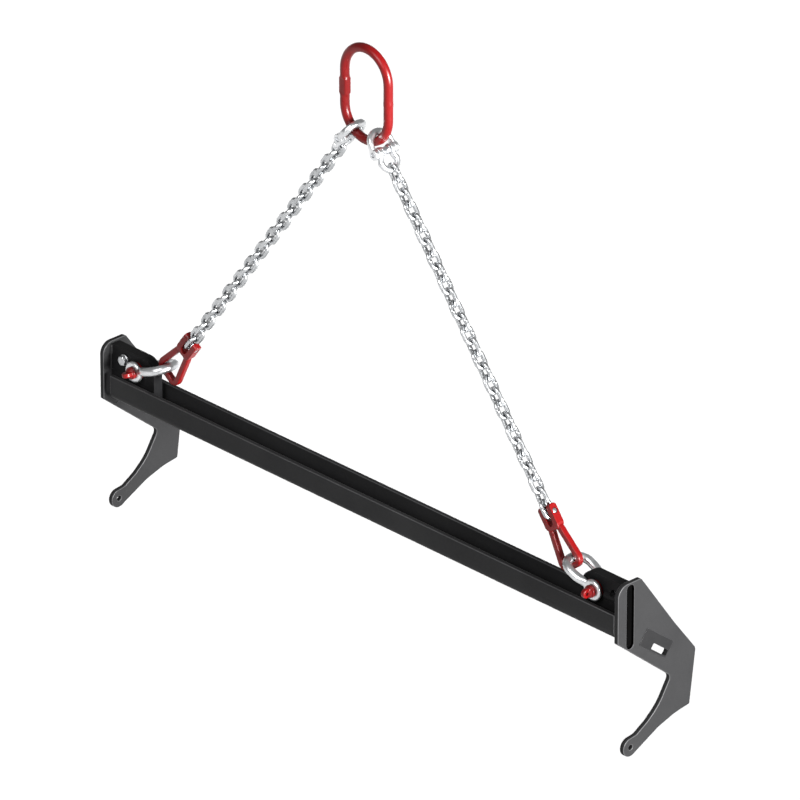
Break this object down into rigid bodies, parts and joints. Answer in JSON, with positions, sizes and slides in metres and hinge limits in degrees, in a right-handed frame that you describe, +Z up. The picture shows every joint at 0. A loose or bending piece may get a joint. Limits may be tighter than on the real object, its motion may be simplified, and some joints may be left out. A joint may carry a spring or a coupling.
{
  "type": "spreader beam",
  "caption": "Lifting spreader beam: folded channel with slotted end plates and curved arms, hung by two chain legs from an oval master link.",
  "frame": {"origin": "seat inside the top of the master link, where the hoist hook bears", "axes": "+X along the beam, +Y the way the two end arms lean out from the beam's back, +Z up along the pull"},
  "size_m": [1.007, 0.1586, 0.8736],
  "materials": {
    "black_powder_coat": "satin black powder coat",
    "red_powder_coat": "satin red coat",
    "galvanised_steel": "bright galvanised",
    "chain_steel": "bright zinc",
    "pin_steel": "bright steel",
    "zinc_bolt": "zinc plated",
    "black_strip": "matt black"
  },
  "bodies": {
    "master_link": {"master_link": "red_powder_coat"},
    "couplings": {"left_coupling_upper": "galvanised_steel", "left_coupling_lower": "galvanised_steel", "left_coupling_pin": "pin_steel", "right_coupling_upper": "galvanised_steel", "right_coupling_lower": "galvanised_steel", "right_coupling_pin": "pin_steel"},
    "legs": {"left_chain_1": "chain_steel", "left_chain_2": "chain_steel", "left_chain_3": "chain_steel", "left_chain_4": "chain_steel", "left_chain_5": "chain_steel", "left_chain_6": "chain_steel", "left_chain_7": "chain_steel", "left_clevis_link": "red_powder_coat", "left_clevis_pin": "pin_steel", "right_chain_1": "chain_steel", "right_chain_2": "chain_steel", "right_chain_3": "chain_steel", "right_chain_4": "chain_steel", "right_chain_5": "chain_steel", "right_chain_6": "chain_steel", "right_chain_7": "chain_steel", "right_clevis_link": "red_powder_coat", "right_clevis_pin": "pin_steel"},
    "beam": {"beam_channel": "black_powder_coat", "left_lug": "black_powder_coat", "left_spacer_front": "red_powder_coat", "left_spacer_back": "red_powder_coat", "left_lug_bolt": "zinc_bolt", "left_lug_washer": "zinc_bolt", "left_end_plate": "black_powder_coat", "left_id_pad": "black_powder_coat", "left_slot_strip": "black_strip", "right_lug": "black_powder_coat", "right_spacer_front": "red_powder_coat", "right_spacer_back": "red_powder_coat", "right_lug_bolt": "zinc_bolt", "right_lug_washer": "zinc_bolt", "right_end_plate": "black_powder_coat", "right_id_pad": "black_powder_coat", "right_slot_strip": "black_strip"},
    "left_shackle": {"left_shackle_bow": "galvanised_steel"},
    "left_screw_pin": {"left_shackle_pin": "red_powder_coat"},
    "left_bush": {"left_coupling_bush": "pin_steel"},
    "right_shackle": {"right_shackle_bow": "galvanised_steel"},
    "right_screw_pin": {"right_shackle_pin": "red_powder_coat"},
    "right_bush": {"right_coupling_bush": "pin_steel"}
  },
  "joints": [
    {"name": "side_swing", "type": "hinge", "parent": "master_link", "child": "couplings", "pos_m": [0, 0, -0.085], "axis": [0, 1, 0], "range_deg": [-15, 15]},
    {"name": "fore_aft_swing", "type": "hinge", "parent": "couplings", "child": "legs", "pos_m": [0, 0, -0.14297], "axis": [1, 0, 0], "range_deg": [-15, 15]},
    {"name": "beam_roll", "type": "hinge", "parent": "legs", "child": "beam", "pos_m": [0, 0, -0.60895], "axis": [1, 0, 0], "range_deg": [-15, 15]},
    {"name": "left_shackle_play", "type": "hinge", "parent": "beam", "child": "left_shackle", "pos_m": [-0.447, 0, -0.6262], "axis": [0, 1, 0], "range_deg": [-2, 0]},
    {"name": "left_screw_pin_turn", "type": "hinge", "parent": "left_shackle", "child": "left_screw_pin", "pos_m": [-0.447, 0, -0.6262], "axis": [0, 1, 0], "continuous": true},
    {"name": "left_bush_turn", "type": "hinge", "parent": "couplings", "child": "left_bush", "pos_m": [-0.03397, 0, -0.13077], "axis": [0, 1, 0], "continuous": true},
    {"name": "right_shackle_play", "type": "hinge", "parent": "beam", "child": "right_shackle", "pos_m": [0.4445, 0, -0.6262], "axis": [0, 1, 0], "range_deg": [0, 2]},
    {"name": "right_screw_pin_turn", "type": "hinge", "parent": "right_shackle", "child": "right_screw_pin", "pos_m": [0.4445, 0, -0.6262], "axis": [0, 1, 0], "continuous": true},
    {"name": "right_bush_turn", "type": "hinge", "parent": "couplings", "child": "right_bush", "pos_m": [0.03397, 0, -0.13077], "axis": [0, 1, 0], "continuous": true}
  ]
}
